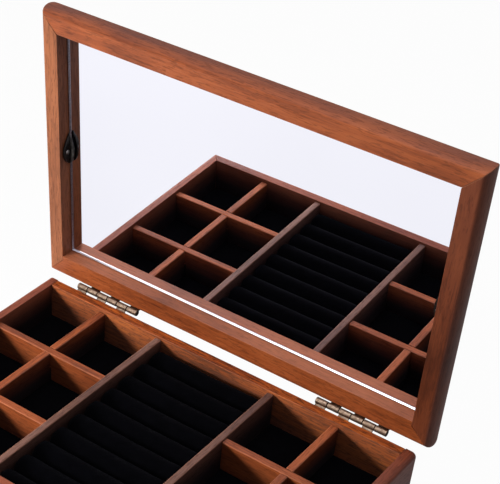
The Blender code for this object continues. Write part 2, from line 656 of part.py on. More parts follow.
def build_drawer(label, floor_z, wood, inner_wood, velvet, brass):
    drawer = axis_empty(f"{label}_drawer_axis", (0.0, FRONT_Y, floor_z + GAP))
    half = INNER_X - DRAWER_PLAY
    height = DRAWER_OPENING - 2 * DRAWER_PLAY
    front_edges = ((1, -1, 0), (-1, -1, 0), (0, -1, 1), (0, -1, -1))
    front = block(f"{label}_drawer_front", (-half, 0, 0), (half, DRAWER_FRONT, height), wood, drawer,
                  rounded=front_edges, radius=DRAWER_EDGE_ROUNDING)
    tail = BOX_DEPTH - BACK_WALL - DRAWER_BEHIND
    start = DRAWER_FRONT + GAP
    block(f"{label}_drawer_bottom", (-half, start, 0), (half, tail, DRAWER_BOTTOM), inner_wood, drawer)
    low = DRAWER_BOTTOM + GAP
    top = height - DRAWER_SIDE_DROP
    for side_label, side in (("left", -1), ("right", 1)):
        x_range = sorted((side * half, side * (half - DRAWER_SIDE)))
        block(f"{label}_drawer_side_{side_label}", (x_range[0], start, low), (x_range[1], tail, top),
              inner_wood, drawer)
    inside = half - DRAWER_SIDE - GAP
    block(f"{label}_drawer_back", (-inside, tail - DRAWER_BACK, low), (inside, tail, top),
          inner_wood, drawer)
    block(f"{label}_drawer_velvet", (-inside, start, low), (inside, tail - DRAWER_BACK - GAP,
                                                            low + DRAWER_LINER), velvet, drawer)
    for side_label, side in (("left", -1), ("right", 1)):
        seat = (side * KNOB_SPACING / 2, 0.0, height / 2)
        facing = Matrix.Translation(seat) @ Matrix.Rotation(math.radians(90), 4, "X")
        stand_off = Matrix.Translation((0, -GAP, 0))
        turned(f"{label}_drawer_knob_{side_label}", knob_profile(), TURNED_STEPS, brass, drawer,
               stand_off @ facing)
        behind = -DRAWER_FRONT - GAP
        profile = [(0.0, behind - KNOB_SCREW_HEAD), (KNOB_SCREW_HEAD_RADIUS, behind - KNOB_SCREW_HEAD),
                   (KNOB_SCREW_HEAD_RADIUS, behind), (KNOB_SCREW_RADIUS, behind),
                   (KNOB_SCREW_RADIUS, KNOB_SCREW_REACH), (0.0, KNOB_SCREW_REACH)]
        turned(f"{label}_drawer_knob_screw_{side_label}", profile, TUBE_STEPS, brass, drawer, facing)
        drill_end = behind - OVERRUN
        bore = [(0.0, drill_end), (KNOB_BORE_RADIUS, drill_end), (KNOB_BORE_RADIUS, OVERRUN),
                (0.0, OVERRUN)]
        drill = turned(f"{label}_knob_bore_{side_label}", bore, TUBE_STEPS, None, drawer, facing)
        combine(front, drill)


def build():
    clear_scene()
    wood = finish("stained wood", WOOD_LOOK)
    tray_wood = finish("tray wood", TRAY_WOOD_LOOK)
    velvet = finish("black velvet", VELVET_LOOK)
    glass = finish("mirror glass", GLASS_LOOK)
    card = finish("backing card", CARD_LOOK)
    brass = finish("antique brass", BRASS_LOOK)
    dark_metal = finish("dark metal", DARK_METAL_LOOK)

    back_wall = build_case(wood)
    build_dividers(tray_wood)
    build_liners(velvet)
    build_ring_cushion(velvet)

    hinge_axis = axis_empty("hinge_axis", (0.0, HINGE_Y, HINGE_Z))
    lid = axis_empty("lid_axis", (0.0, HINGE_Y, HINGE_Z), -LID_OPEN_ANGLE)
    hinge_rail, stiles = build_lid_frame(wood, lid)
    build_lid_panels(wood, glass, card, lid)
    build_clips(dark_metal, stiles, lid)
    build_hinges(brass, back_wall, hinge_rail, hinge_axis, lid)

    build_drawer("lower", LOWER_FLOOR_Z, wood, tray_wood, velvet, brass)
    build_drawer("upper", UPPER_FLOOR_Z, wood, tray_wood, velvet, brass)


build()
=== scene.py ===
# %% [markdown]
# # A tiered jewellery box with a mirrored lid
# The CAD model gives every board, hinge and drawer its true size and place. This lesson dresses it:
# each board gets eased edges and stained grain, the tray gets padded velvet, the hinges get real
# knuckles and the lid gets a silvered glass. The first cell loads the CAD model. Everything is in
# metres, with +Z up, and the lid stands open as in the photograph.

# %% Load the CAD frame
import json
import math
import bpy
from mathutils import Matrix, Vector, noise


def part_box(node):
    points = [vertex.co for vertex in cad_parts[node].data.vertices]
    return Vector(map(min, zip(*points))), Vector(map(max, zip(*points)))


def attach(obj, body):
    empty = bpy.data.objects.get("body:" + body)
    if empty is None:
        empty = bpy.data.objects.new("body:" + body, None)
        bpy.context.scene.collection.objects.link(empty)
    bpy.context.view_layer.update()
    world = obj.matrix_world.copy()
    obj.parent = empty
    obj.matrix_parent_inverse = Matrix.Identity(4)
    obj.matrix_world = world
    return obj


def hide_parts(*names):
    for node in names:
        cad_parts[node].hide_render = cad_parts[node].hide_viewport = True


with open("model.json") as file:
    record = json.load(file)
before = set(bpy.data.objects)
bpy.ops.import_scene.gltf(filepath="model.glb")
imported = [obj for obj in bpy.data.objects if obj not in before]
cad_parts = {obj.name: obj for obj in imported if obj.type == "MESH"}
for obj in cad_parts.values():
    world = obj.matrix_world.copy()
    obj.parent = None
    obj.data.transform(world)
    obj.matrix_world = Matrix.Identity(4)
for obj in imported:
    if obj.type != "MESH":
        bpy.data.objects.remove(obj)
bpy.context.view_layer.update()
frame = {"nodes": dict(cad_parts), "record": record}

AXES = "XYZ"
GLUE_GAP = 0.0003
bodies = frame["record"]["behaviour"]["bodies"]
joints = {joint["name"]: joint for joint in frame["record"]["behaviour"]["joints"]}
HINGE_AXIS = Vector(joints["lid_hinge"]["pos_m"])
OPEN_ANGLE = math.radians(joints["lid_hinge"]["range_deg"][1])


def corners(node):
    """The lowest and the highest corner of a CAD node."""
    low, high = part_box(node)
    return Vector(low), Vector(high)


print("nodes", len(frame["nodes"]), "hinge axis", tuple(HINGE_AXIS))

# %% [markdown]
# ## The camera
# The photograph is an off-centre crop: its vanishing lines meet far below the middle of the picture.
# A turned camera would bend them, and a shifted one keeps them where they are. This one was solved
# from the edges of the tray and of the lid, in pixels of the photograph.

# %% Camera
PICTURE_WIDTH, PICTURE_HEIGHT = 500, 484
FOCAL_PIXELS = 1329.69
PRINCIPAL_POINT = (139.83, 462.27)
SENSOR_WIDTH = 36
CAMERA_PLACE = Vector((0.37810, -0.50898, 0.66976))
CAMERA_RIGHT = Vector((0.79015, 0.61214, 0.03092))
CAMERA_UP = Vector((-0.42916, 0.51654, 0.74095))

camera_data = bpy.data.cameras.new("photo camera")
camera_data.sensor_width = SENSOR_WIDTH
camera_data.lens = FOCAL_PIXELS * SENSOR_WIDTH / PICTURE_WIDTH
camera_data.shift_x = (PICTURE_WIDTH / 2 - PRINCIPAL_POINT[0]) / PICTURE_WIDTH
camera_data.shift_y = (PRINCIPAL_POINT[1] - PICTURE_HEIGHT / 2) / PICTURE_WIDTH
camera = bpy.data.objects.new("photo camera", camera_data)
bpy.context.scene.collection.objects.link(camera)
turn = Matrix((CAMERA_RIGHT, CAMERA_UP, CAMERA_RIGHT.cross(CAMERA_UP))).transposed().to_4x4()
camera.matrix_world = Matrix.Translation(CAMERA_PLACE) @ turn
bpy.context.scene.camera = camera
bpy.context.scene.view_settings.view_transform = "Standard"
print("lens", round(camera_data.lens, 2), "shift", camera_data.shift_x, camera_data.shift_y)

# %% [markdown]
# ## Small helpers for node trees
# A material is a chain of nodes. Short helpers keep each chain readable: they add a node and fill its
# sockets, do a sum, add a ramp or a noise, mix two colours, and start a material or a group.

# %% Node helpers
COLOUR_MIX_SOCKETS = (0, 6, 7)


def set_socket(tree, socket, value):
    """Link a socket to another one, or give it a value. A colour is three numbers."""
    if isinstance(value, bpy.types.NodeSocket):
        tree.links.new(value, socket)
    elif socket.type == "RGBA":
        socket.default_value = (*value, 1.0)
    else:
        socket.default_value = value


def fill(tree, node, **sockets):
    """Set a node's sockets by name, with an underscore for each space."""
    for name, value in sockets.items():
        set_socket(tree, node.inputs[name.replace("_", " ")], value)


def add_node(tree, kind, settings=None, **sockets):
    made = tree.nodes.new(f"ShaderNode{kind}")
    for name, value in (settings or {}).items():
        setattr(made, name, value)
    fill(tree, made, **sockets)
    return made


def calc(tree, operation, first, second=0.0, clamp=False):
    made = add_node(tree, "Math", {"operation": operation, "use_clamp": clamp})
    for socket, value in zip(made.inputs, (first, second)):
        set_socket(tree, socket, value)
    return made.outputs[0]


def times(tree, first, second):
    return calc(tree, "MULTIPLY", first, second)


def ramp(tree, factor, *stops):
    """A ramp through stops, each a place and either a colour or one number for a grey."""
    made = add_node(tree, "ValToRGB", Fac=factor)
    elements = made.color_ramp.elements
    while len(elements) < len(stops):
        elements.new(0.5)
    for element, (place, colour) in zip(elements, stops):
        element.position = place
        element.color = (*colour, 1.0) if isinstance(colour, tuple) else (colour, colour, colour, 1.0)
    return made.outputs[0]


def mix_colour(tree, factor, first, second):
    """The first colour where the factor is 0, and the second where it is 1."""
    made = add_node(tree, "Mix", {"data_type": "RGBA"})
    for place, value in zip(COLOUR_MIX_SOCKETS, (factor, first, second)):
        set_socket(tree, made.inputs[place], value)
    return made.outputs[2]


# %% Helpers for materials and groups
def new_material(name):
    """A material, its node tree, its Principled shader and its coordinates."""
    material = bpy.data.materials.new(name)
    material.use_nodes = True
    tree = material.node_tree
    return material, tree, tree.nodes["Principled BSDF"], add_node(tree, "TexCoord").outputs


def new_group(name, inputs, outputs):
    """A node group, the sockets that it reads and the node that takes its results."""
    tree = bpy.data.node_groups.new(name, "ShaderNodeTree")
    for in_out, sockets in (("INPUT", inputs), ("OUTPUT", outputs)):
        for socket, kind in sockets.items():
            tree.interface.new_socket(name=socket, in_out=in_out, socket_type=f"NodeSocket{kind}")
    return tree, tree.nodes.new("NodeGroupInput").outputs, tree.nodes.new("NodeGroupOutput")


def use_group(tree, group, **sockets):
    return add_node(tree, "Group", {"node_tree": group}, **sockets).outputs


def pattern(tree, place, scale, **sockets):
    """A noise pattern with so many waves to the metre."""
    return add_node(tree, "TexNoise", Vector=place, Scale=scale, **sockets).outputs[0]


def relief(tree, height, strength, depth):
    return add_node(tree, "Bump", Height=height, Strength=strength, Distance=depth).outputs[0]


# %% [markdown]
# ## Stained grain
# The box is made of a plain, fairly straight-grained hardwood under a reddish brown stain. Four
# patterns make it: slow changes of tone, growth lines drawn out along the board, fine fibre, and
# short dark pores. All are one group, so that every board uses it with its own direction and colours.

# %% Grain group
# Each pattern: its waves to the metre along and across the board, its detail and its distortion
SLOW_TONE = (9, 30, 3.0, 0.8)
GROWTH_LINES = (11, 330, 4.0, 1.1)
FIBRE = (70, 1500, 2.0, 0.2)
PORES = (150, 1100, 2.0, 0.4)
TONE_WEIGHT = 0.75
FIBRE_WEIGHT = 0.3
# Each ramp: the values of a pattern where a mask starts and ends
DARK_TO_MIDDLE = ((0.3, 0.0), (0.5, 1.0))
MIDDLE_TO_LIGHT = ((0.48, 0.0), (0.72, 1.0))
PORE_TO_WOOD = ((0.39, 1.0), (0.47, 0.0))
# Each: its share over the stain and its colour; the pores' filling, then a painted highlight on the
# arrises
PORE_FILLING = (0.7, (0.02, 0.005, 0.002))
PAINTED_ARRIS_HIGHLIGHT = (0.3, (0.62, 0.27, 0.15))


def build_grain_group():
    tree, start, end = new_group(
        "stained grain",
        {"Vector": "Vector", "Light": "Color", "Middle": "Color", "Dark": "Color",
         "Figure": "Float", "Pores": "Float", "Arris": "Float", "Dullness": "Float"},
        {"Colour": "Color", "Roughness": "Float", "Height": "Float"})

    def streaks(along, across, detail, distortion):
        drawn_out = add_node(tree, "VectorMath", {"operation": "MULTIPLY"})
        set_socket(tree, drawn_out.inputs[0], start["Vector"])
        set_socket(tree, drawn_out.inputs[1], (along, across, across))
        return pattern(tree, drawn_out.outputs[0], 1.0, Detail=detail, Roughness=0.58,
                       Distortion=distortion)

    def swing(value, weight):
        """A pattern that swings about 0, as far as its weight lets it."""
        return times(tree, calc(tree, "SUBTRACT", value, 0.5), weight)

    def over(stain, mask, share, colour):
        return mix_colour(tree, mask, stain, mix_colour(tree, share, stain, colour))

    tone = streaks(*SLOW_TONE)
    lines = streaks(*GROWTH_LINES)
    pores = times(tree, ramp(tree, streaks(*PORES), *PORE_TO_WOOD), start["Pores"])
    coarse = calc(tree, "ADD", swing(tone, TONE_WEIGHT), swing(lines, start["Figure"]))
    level = calc(tree, "ADD", coarse, calc(tree, "ADD", swing(streaks(*FIBRE), FIBRE_WEIGHT), 0.5))
    stain = mix_colour(tree, ramp(tree, level, *DARK_TO_MIDDLE), start["Dark"], start["Middle"])
    stain = mix_colour(tree, ramp(tree, level, *MIDDLE_TO_LIGHT), stain, start["Light"])
    stain = over(stain, pores, *PORE_FILLING)
    # A painted highlight on the eased arrises, a little stronger where the slow tone is light
    rubbed = calc(tree, "MULTIPLY", start["Arris"], calc(tree, "ADD", tone, 0.1), clamp=True)
    stain = over(stain, rubbed, *PAINTED_ARRIS_HIGHLIGHT)
    rough = calc(tree, "ADD", start["Dullness"], times(tree, tone, 0.12))
    rough = calc(tree, "ADD", rough, times(tree, pores, 0.2))
    height = calc(tree, "SUBTRACT", times(tree, lines, 0.35), pores)
    fill(tree, end, Colour=stain, Roughness=rough, Height=height)
    return tree


grain_group = build_grain_group()
print("group", grain_group.name, len(grain_group.nodes), "nodes")

# %% [markdown]
# ## Painted shade at the foot of each bay
# Low in the compartments the wood looks nearly black, because hardly any light gets down between the
# dividers and the velvet sends none back. That shade is painted into the wood's colour: a second
# group gives a mask by place, 1 at the velvet, less towards the rim, and 0 outside the tray's walls.
# Faces that look to the front, where the lamp reaches, get less of the painted shade.

# %% Painted bay shade group
SKIN = 0.0001
BAY_FOOT = 0.097
# Each height above the table, and how much painted shade the wood gets there
PAINTED_SHADE_STOPS = ((0.106, 1.0), (0.114, 0.8), (0.1226, 0.15))
# The ramp's whole length stands for this height
RAMP_HEIGHT = 0.2
# How much less painted shade the faces that look to the front get, as the lamp reaches them
FRONT_RELIEF = 0.45


def build_painted_shade_group():
    tree, start, end = new_group("painted bay shade", {"Vector": "Vector", "Normal": "Vector"}, {"Mask": "Float"})
    place = add_node(tree, "SeparateXYZ", Vector=start["Vector"]).outputs
    facing = add_node(tree, "SeparateXYZ", Vector=start["Normal"]).outputs
    tests = (("LESS_THAN", calc(tree, "ABSOLUTE", place["X"]), corners("side_wall_right")[0].x + SKIN),
             ("GREATER_THAN", place["Y"], corners("front_apron")[1].y - SKIN),
             ("LESS_THAN", place["Y"], corners("back_wall")[0].y + SKIN),
             ("GREATER_THAN", place["Z"], BAY_FOOT),
             ("LESS_THAN", calc(tree, "ABSOLUTE", facing["Z"]), 0.5))
    forward = times(tree, calc(tree, "MINIMUM", facing["Y"], 0.0), FRONT_RELIEF)
    height = times(tree, place["Z"], 1 / RAMP_HEIGHT)
    mask = ramp(tree, height, *((stop / RAMP_HEIGHT, darkness) for stop, darkness in PAINTED_SHADE_STOPS))
    mask = times(tree, mask, calc(tree, "ADD", forward, 1.0))
    for operation, value, limit in tests:
        mask = times(tree, mask, calc(tree, operation, value, limit))
    fill(tree, end, Mask=mask)
    return tree


painted_shade_group = build_painted_shade_group()
print("group", painted_shade_group.name, len(painted_shade_group.nodes), "nodes")

# %% [markdown]
# ## Eight tones of wood
# The case and the lid have the richest stain and a thin satin lacquer. The lid's left stile gets a
# paler, yellower tone, which is the painted sheen of the lamp that stands close on that side. Its
# right stile is darker, and the back wall is redder, with a strong figure. The tray's dividers are
# plainer, and the two long ones greyer. The drawers' inner boards are palest, as they never get the
# full stain. One material for each tone and direction is enough, because the grain follows the board.

# %% Wood materials
# Each tone: its light, middle and dark stain, its figure, its pores and how dull its finish is
WOODS = {
    "lid": ((0.43, 0.113, 0.034), (0.3, 0.071, 0.019), (0.15, 0.032, 0.009), 0.4, 0.5, 0.42),
    # pale: the lid's stain with the lamp's sheen painted in
    "pale": ((0.39, 0.13, 0.05), (0.28, 0.09, 0.034), (0.15, 0.044, 0.016), 0.4, 0.5, 0.42),
    "dark": ((0.23, 0.06, 0.022), (0.15, 0.036, 0.013), (0.07, 0.016, 0.006), 0.4, 0.4, 0.44),
    "case": ((0.3, 0.074, 0.03), (0.19, 0.042, 0.018), (0.09, 0.019, 0.009), 0.45, 0.5, 0.42),
    "rear": ((0.6, 0.15, 0.018), (0.36, 0.072, 0.01), (0.1, 0.02, 0.005), 0.8, 1.0, 0.55),
    "tray": ((0.48, 0.126, 0.036), (0.32, 0.075, 0.021), (0.12, 0.028, 0.009), 0.5, 0.5, 0.46),
    "long": ((0.25, 0.125, 0.09), (0.16, 0.072, 0.048), (0.08, 0.034, 0.024), 0.5, 0.6, 0.44),
    "drawer": ((0.5, 0.24, 0.12), (0.38, 0.165, 0.075), (0.2, 0.08, 0.035), 0.5, 0.5, 0.52),
}
TURNS = {"X": (0, 0, 0), "Y": (0, 0, -math.pi / 2), "Z": (0, math.pi / 2, 0)}
# The colour of the painted shade low in the bays
PAINTED_BAY_SHADE = (0.006, 0.0035, 0.0045)


def wood(tone, along):
    """The wood of one tone with its grain along one axis, made when it is first asked for."""
    name = f"{tone} wood along {along}"
    if name in bpy.data.materials:
        return bpy.data.materials[name]
    light, middle, dark, figure, pores, dullness = WOODS[tone]
    material, tree, shader, place = new_material(name)
    turned = add_node(tree, "Mapping", Vector=place["Object"], Rotation=TURNS[along]).outputs[0]
    arris = add_node(tree, "Attribute", {"attribute_name": "arris"}).outputs["Fac"]
    grain = use_group(tree, grain_group, Vector=turned, Light=light, Middle=middle, Dark=dark,
                      Figure=figure, Pores=pores, Arris=arris, Dullness=dullness)
    depth = use_group(tree, painted_shade_group, Vector=place["Object"], Normal=place["Normal"])["Mask"]
    # The stain turns to the painted shade where the bay mask is high
    fill(tree, shader, Base_Color=mix_colour(tree, depth, grain["Colour"], PAINTED_BAY_SHADE),
         Roughness=grain["Roughness"], Normal=relief(tree, grain["Height"], 0.2, 0.0002),
         Specular_IOR_Level=0.3)
    return material


print("tones", *WOODS)

# %% [markdown]
# ## Helpers for pieces
# Every piece is shaped in the same few ways: a primitive or a copy of a CAD node is added, faces or
# points are selected by their place, and a modifier is applied. Each piece rides on its node's body.

# %% Piece helpers
MERGED = 0.00001
FLAT = math.radians(1)
SHARP = math.radians(32)
SMOOTH = math.radians(40)


def set_mode(mode):
    bpy.ops.object.mode_set(mode=mode)


def select_only(piece):
    bpy.ops.object.select_all(action="DESELECT")
    piece.hide_set(False)
    piece.select_set(True)
    bpy.context.view_layer.objects.active = piece


def edit_with(piece, mode, wanted):
    """Go into edit mode with only the wanted points or faces selected."""
    set_mode("EDIT")
    bpy.ops.mesh.select_mode(type=mode)
    bpy.ops.mesh.select_all(action="DESELECT")
    set_mode("OBJECT")
    for part in piece.data.vertices if mode == "VERT" else piece.data.polygons:
        part.select = wanted(part)
    set_mode("EDIT")


def add_primitive(add, scale=(1, 1, 1), **settings):
    """Add a primitive at its size and place, and keep both in its mesh."""
    bpy.ops.object.select_all(action="DESELECT")
    add(**settings)
    piece = bpy.context.active_object
    piece.scale = scale
    bpy.ops.object.transform_apply(location=True, rotation=True, scale=True)
    return piece


def add_copy(mesh, name):
    piece = bpy.data.objects.new(name, mesh.copy())
    bpy.context.scene.collection.objects.link(piece)
    select_only(piece)
    return piece


def copy_of(node, name):
    """A copy of a CAD node, with its loose triangles merged into whole faces."""
    piece = add_copy(frame["nodes"][node].data, name)
    set_mode("EDIT")
    bpy.ops.mesh.select_all(action="SELECT")
    bpy.ops.mesh.remove_doubles(threshold=MERGED)
    bpy.ops.mesh.dissolve_limited(angle_limit=FLAT)
    bpy.ops.mesh.normals_make_consistent(inside=False)
    set_mode("OBJECT")
    return piece


def apply_modifier(piece, kind, **settings):
    select_only(piece)
    modifier = piece.modifiers.new(kind.lower(), kind)
    for name, value in settings.items():
        setattr(modifier, name, value)
    bpy.ops.object.modifier_apply(modifier=modifier.name)


def round_edges(piece, width, steps, angle=SHARP):
    apply_modifier(piece, "BEVEL", width=width, segments=steps, limit_method="ANGLE", angle_limit=angle)
    bpy.ops.object.shade_smooth_by_angle(angle=SMOOTH)
    return piece


def dress(piece, *materials):
    piece.data.materials.clear()
    for material in materials:
        piece.data.materials.append(material)
    return piece


def settle(piece, node):
    """The piece rides on its node's body and stands for the node."""
    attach(piece, next(body for body, nodes in bodies.items() if node in nodes))
    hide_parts(node)
    return piece


# %% [markdown]
# ## Boards with eased edges
# A CAD board has knife-sharp edges. A joiner takes them off with a few strokes of fine paper, but
# leaves the joints tight. A copy of the board is cleaned of its triangles, its long edges get a
# narrow bevel, and its mitred ends are pushed together until only a hairline is left. The new faces
# are marked with an attribute, so that a painted highlight can be laid on the stain there. A face
# with new ones all round it is marked as well, which suits the plain thin boards.

# %% Board helpers
HAIRLINE = 0.00002
MITRE_LEAN = 0.3
BEVEL_STEPS = 3


def close_mitres(mesh, node, along, mitre):
    """Push a board's mitred ends outwards, and return the points of its joints."""
    joint_points = set()
    for face in mesh.polygons:
        if mitre and all(abs(face.normal[AXES.index(axis)]) > MITRE_LEAN for axis in mitre):
            joint_points.update(face.vertices)
    axis = AXES.index(along)
    low, high = corners(node)
    for index in joint_points:
        place = mesh.vertices[index].co
        outwards = place[axis] - (low[axis] + high[axis]) / 2
        place[axis] += math.copysign((GLUE_GAP / 2 - HAIRLINE) * math.sqrt(2), outwards)
    return joint_points


def ease_edges(mesh, width, joint_points):
    """Bevel the sharp edges outside the joints, and mark the new faces."""
    set_mode("EDIT")
    bpy.ops.mesh.select_all(action="DESELECT")
    bpy.ops.mesh.select_mode(type="EDGE")
    bpy.ops.mesh.edges_select_sharp(sharpness=SHARP)
    set_mode("OBJECT")
    for edge in mesh.edges:
        if joint_points.issuperset(edge.vertices):
            edge.select = False
    set_mode("EDIT")
    bpy.ops.mesh.bevel(offset=width, segments=BEVEL_STEPS, affect="EDGES", clamp_overlap=True)
    set_mode("OBJECT")
    mark = mesh.attributes.new("arris", "FLOAT", "FACE")
    for face in mesh.polygons:
        mark.data[face.index].value = float(face.select)


# %% [markdown]
# In the CAD the hinge rail's shoulder ends short of the stiles, and leaves a small three-cornered
# hole at each end. Two cuts across the copy keep the rest of it still, while the shoulder's end
# points are drawn out to the stile.

# %% Hinge rail's corners
# How far from the middle the cuts are, and where the shoulder ends before and after
CORNER_CUT = 0.145
SHOULDER_END = 0.14155
DRAWN_OUT_END = 0.14516
SHOULDER_HEIGHT = 0.1393


def draw_out_corners(rail):
    set_mode("EDIT")
    for side in (-1, 1):
        bpy.ops.mesh.select_all(action="SELECT")
        bpy.ops.mesh.bisect(plane_co=(side * CORNER_CUT, 0, 0), plane_no=(1, 0, 0))
    for side in (-1, 1):
        edit_with(rail, "VERT", lambda point: (abs(point.co.x - side * SHOULDER_END) < 0.0001
                                               and abs(point.co.z - SHOULDER_HEIGHT) < 0.0002))
        bpy.ops.transform.translate(value=(side * (DRAWN_OUT_END - SHOULDER_END), 0, 0))
    set_mode("OBJECT")
    print("points moved at one corner", sum(point.select for point in rail.data.vertices))


def eased_board(node, material, width, along, mitre):
    piece = dress(copy_of(node, f"{node}_board"), material)
    if node == "lid_hinge_rail":
        draw_out_corners(piece)
    ease_edges(piece.data, width, close_mitres(piece.data, node, along, mitre))
    select_only(piece)
    bpy.ops.object.shade_smooth_by_angle(angle=SMOOTH)
    apply_modifier(piece, "WEIGHTED_NORMAL", weight=100, keep_sharp=True)
    return settle(piece, node)


# %% [markdown]
# ## The boards of the case, tray, lid and drawers
# The grain of each board runs along its length, so the table names a tone and one direction for
# each. The corners of the lid frame and the front corners of the tray are mitred: there the table
# also names the two axes that the mitre lies between.

# %% Boards
EASED_EDGE = 0.0005
EASED_DIVIDER = 0.0004
BOARDS = (
    ("case", "X", "", "base_plinth"),
    ("case", "Y", "XY", "side_wall_left side_wall_right"),
    ("rear", "X", "", "back_wall"),
    ("case", "X", "XY", "front_apron"),
    ("case", "X", "", "drawer_shelf"),
    ("drawer", "X", "", "tray_floor"),
    ("long", "Y", "", "long_divider_left long_divider_right"),
    ("tray", "Y", "", "column_divider_left column_divider_right"),
    ("tray", "X", "", "row_divider_left_1 row_divider_left_2 row_divider_right_1 row_divider_right_2"),
    ("lid", "X", "XZ", "lid_hinge_rail lid_front_rail"),
    # The left stile's pale tone is painted lamp sheen
    ("pale", "Z", "XZ", "lid_stile_left"),
    ("dark", "Z", "XZ", "lid_stile_right"),
    ("lid", "X", "", "lid_panel"),
    ("case", "X", "", "lower_drawer_front"),
    ("drawer", "X", "", "lower_drawer_bottom lower_drawer_back"),
    ("drawer", "Y", "", "lower_drawer_side_left lower_drawer_side_right"),
    ("case", "X", "", "upper_drawer_front"),
    ("drawer", "X", "", "upper_drawer_bottom upper_drawer_back"),
    ("drawer", "Y", "", "upper_drawer_side_left upper_drawer_side_right"),
)
for tone, along, mitre, nodes in BOARDS:
    for node in nodes.split():
        width = EASED_DIVIDER if "divider" in node else EASED_EDGE
        eased_board(node, wood(tone, along), width, along, mitre)
    print(tone, "along", along, nodes)

# %% [markdown]
# ## Black velvet
# Velvet is a pile of upright fibres. Seen straight down it swallows the light, and it only glows a
# little where it turns away from the eye. A nearly black colour, full roughness and a weak sheen
# give that. Slow cloudy patches are where the pile was brushed another way, and a very fine noise
# is the pile itself.

# %% Velvet material
BRUSHED_WAVES = 70.0
PILE_WAVES = 2600.0
VELVET_SHADE = (0.0005, 0.0005, 0.0008)
VELVET_LIGHT = (0.0014, 0.0014, 0.0021)


def build_velvet():
    material, tree, shader, place = new_material("black velvet")
    brushed = pattern(tree, place["Object"], BRUSHED_WAVES, Detail=3.0, Distortion=1.2)
    pile = pattern(tree, place["Object"], PILE_WAVES, Detail=2.0)
    level = calc(tree, "ADD", times(tree, brushed, 0.6), times(tree, pile, 0.4))
    fill(tree, shader, Base_Color=ramp(tree, level, (0.35, VELVET_SHADE), (0.7, VELVET_LIGHT)),
         Normal=relief(tree, pile, 0.6, 0.0003), Roughness=1.0, Specular_IOR_Level=0.03,
         Sheen_Weight=0.02, Sheen_Roughness=0.3, Sheen_Tint=(0.75, 0.78, 0.9))
    return material


velvet = build_velvet()
print("material", velvet.name)

# %% [markdown]
# ## Cloth that is blown up
# Padded velvet is a cover over foam. The cloth simulation makes such a form: the cover starts a
# little small, gets a pressure inside, and settles in 20 frames. It runs five times larger than
# real size, because the solver is at its best with cells of several millimetres, and no point may
# move further than a cap, so that the pad stays in its place.

# %% Cloth helper
SIM_SCALE = 5
SIM_FRAMES = 20
SIM_QUALITY = 6


def blow_up(piece, held, pressure, cap):
    """Simulate a cover whose held points stay, and apply the result."""
    start = [point.co.copy() for point in piece.data.vertices]
    piece.data.transform(Matrix.Scale(SIM_SCALE, 4))
    piece.vertex_groups.new(name="held").add(held, 1.0, "REPLACE")
    select_only(piece)
    cloth = piece.modifiers.new("cover", "CLOTH")
    cover = cloth.settings
    cover.vertex_group_mass = "held"
    cover.use_pressure = True
    cover.uniform_pressure_force = pressure
    cover.quality = SIM_QUALITY
    cover.effector_weights.gravity = 0.0
    cloth.point_cache.frame_start = 1
    cloth.point_cache.frame_end = SIM_FRAMES
    for step in range(1, SIM_FRAMES + 1):
        bpy.context.scene.frame_set(step)
    bpy.ops.object.modifier_apply(modifier=cloth.name)
    piece.data.transform(Matrix.Scale(1 / SIM_SCALE, 4))
    for point, first in zip(piece.data.vertices, start):
        move = point.co - first
        if move.length > cap:
            point.co = first + move * (cap / move.length)
    bpy.context.scene.frame_set(1)
    piece.vertex_groups.clear()


# %% [markdown]
# ## The ring rolls
# The middle bay holds ten padded rolls of velvet, side by side, with a slit between each two for
# the rings. Each roll is a foam bar in a sewn cover: round on top, flat where it presses against
# its neighbours, and drawn down at both ends. One roll is made from a cylinder, whose lower half is
# pulled down to the tray's floor, then remeshed and blown up.

# %% One roll
ROLLS = 10
ROLL_CROWN = 0.0062
ROLL_VOXEL = 0.0016
ALONG_X = (0, math.pi / 2, 0)
# Room that the cover swells into, at the sides, top, foot and each end
SIDE_ROOM = 0.0007
TOP_ROOM = 0.0003
FOOT_ROOM = 0.0004
END_ROOM = 0.0004
HELD_FOOT = 0.004

cushion_low, cushion_high = corners("ring_cushion")
ROLL_PITCH = (cushion_high.y - cushion_low.y) / ROLLS
ROLL_HALF = ROLL_PITCH / 2 - SIDE_ROOM
roll_middle_x = (cushion_low.x + cushion_high.x) / 2
roll_length = cushion_high.x - cushion_low.x


def make_roll():
    crown_z = cushion_high.z - ROLL_CROWN - TOP_ROOM
    roll = add_primitive(bpy.ops.mesh.primitive_cylinder_add, scale=(ROLL_CROWN / ROLL_HALF, 1, 1),
                         vertices=32, radius=ROLL_HALF, depth=roll_length - 2 * END_ROOM,
                         rotation=ALONG_X,
                         location=(roll_middle_x, cushion_low.y + ROLL_PITCH / 2, crown_z))
    edit_with(roll, "VERT", lambda point: point.co.z < crown_z - 0.0001)
    foot = crown_z - ROLL_CROWN - cushion_low.z - FOOT_ROOM
    bpy.ops.transform.translate(value=(0, 0, -foot))
    set_mode("OBJECT")
    apply_modifier(roll, "REMESH", mode="VOXEL", voxel_size=ROLL_VOXEL)
    return roll


first_roll = make_roll()
foot_points = [point.index for point in first_roll.data.vertices
               if point.co.z < cushion_low.z + HELD_FOOT]
blow_up(first_roll, foot_points, pressure=4.0, cap=0.001)
print("roll points", len(first_roll.data.vertices), "held", len(foot_points))

# %% [markdown]
# All rolls are copies of this one, each with its own small unevenness. The ends are drawn down and
# gathered in fine creases, and the sides stay clear of the neighbours, so that the slits stay open.

# %% Ends, sides and copies of the roll
SLIT_HALF = 0.00012
END_REACH = 0.007
END_DROP = 0.0013
END_NARROWING = 0.05
PILE_HEIGHT = 0.0004
BUMP_WAVES = 95
BUMP_HEIGHT = 0.00012
BUMP_SHIFT = 7.3
CREASE_WAVES_ALONG = 60
CREASE_WAVES_ACROSS = 420
CREASE_HEIGHT = 0.0003
CREASE_SHIFT = 3.1


